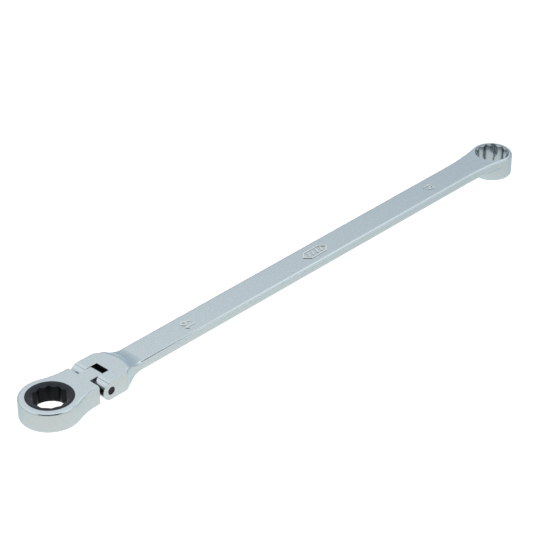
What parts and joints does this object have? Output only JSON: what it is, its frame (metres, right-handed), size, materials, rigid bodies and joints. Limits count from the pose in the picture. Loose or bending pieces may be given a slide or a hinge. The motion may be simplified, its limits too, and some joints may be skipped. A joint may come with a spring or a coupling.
{
  "type": "ratchet wrench",
  "caption": "Extra-long ring wrench with a ratcheting 12-point ring on a flexing hinge at one end and a fixed, dropped 12-point ring at the other.",
  "frame": {"origin": "on the drive axis of the ratcheting ring, halfway through the height of the head", "axes": "+X along the shank towards the fixed ring, +Y along the hinge axis, +Z out of the upper face"},
  "size_m": [0.4199, 0.0362, 0.0182],
  "materials": {
    "satin_chrome": "satin chrome plate",
    "black_oxide": "black oxide",
    "spring_steel": "bright spring steel"
  },
  "bodies": {
    "handle": {"handle": "satin_chrome", "hinge_pin": "black_oxide", "friction_spring": "spring_steel"},
    "head": {"ratchet_head": "satin_chrome", "gear_retaining_ring": "spring_steel", "pawl_spring": "spring_steel"},
    "gear": {"ratchet_gear": "black_oxide"},
    "pawl": {"pawl": "black_oxide"},
    "plunger": {"friction_plunger": "black_oxide"}
  },
  "joints": [
    {"name": "head_hinge", "type": "hinge", "parent": "handle", "child": "head", "pos_m": [0.033, 0, 0], "axis": [0, 1, 0], "range_deg": [-90, 90]},
    {"name": "gear_turn", "type": "hinge", "parent": "head", "child": "gear", "pos_m": [0, 0, 0], "axis": [0, 0, 1], "continuous": true},
    {"name": "pawl_slide", "type": "slide", "parent": "head", "child": "pawl", "axis": [1, 0, 0], "range_m": [0, 0.00065], "stiffness_N_per_m": 400, "springref_m": -0.002, "deforming": ["pawl_spring"]},
    {"name": "plunger_slide", "type": "slide", "parent": "handle", "child": "plunger", "axis": [1, 0, 0], "range_m": [0, 0.0005], "stiffness_N_per_m": 3000, "springref_m": -0.002, "deforming": ["friction_spring"]}
  ]
}
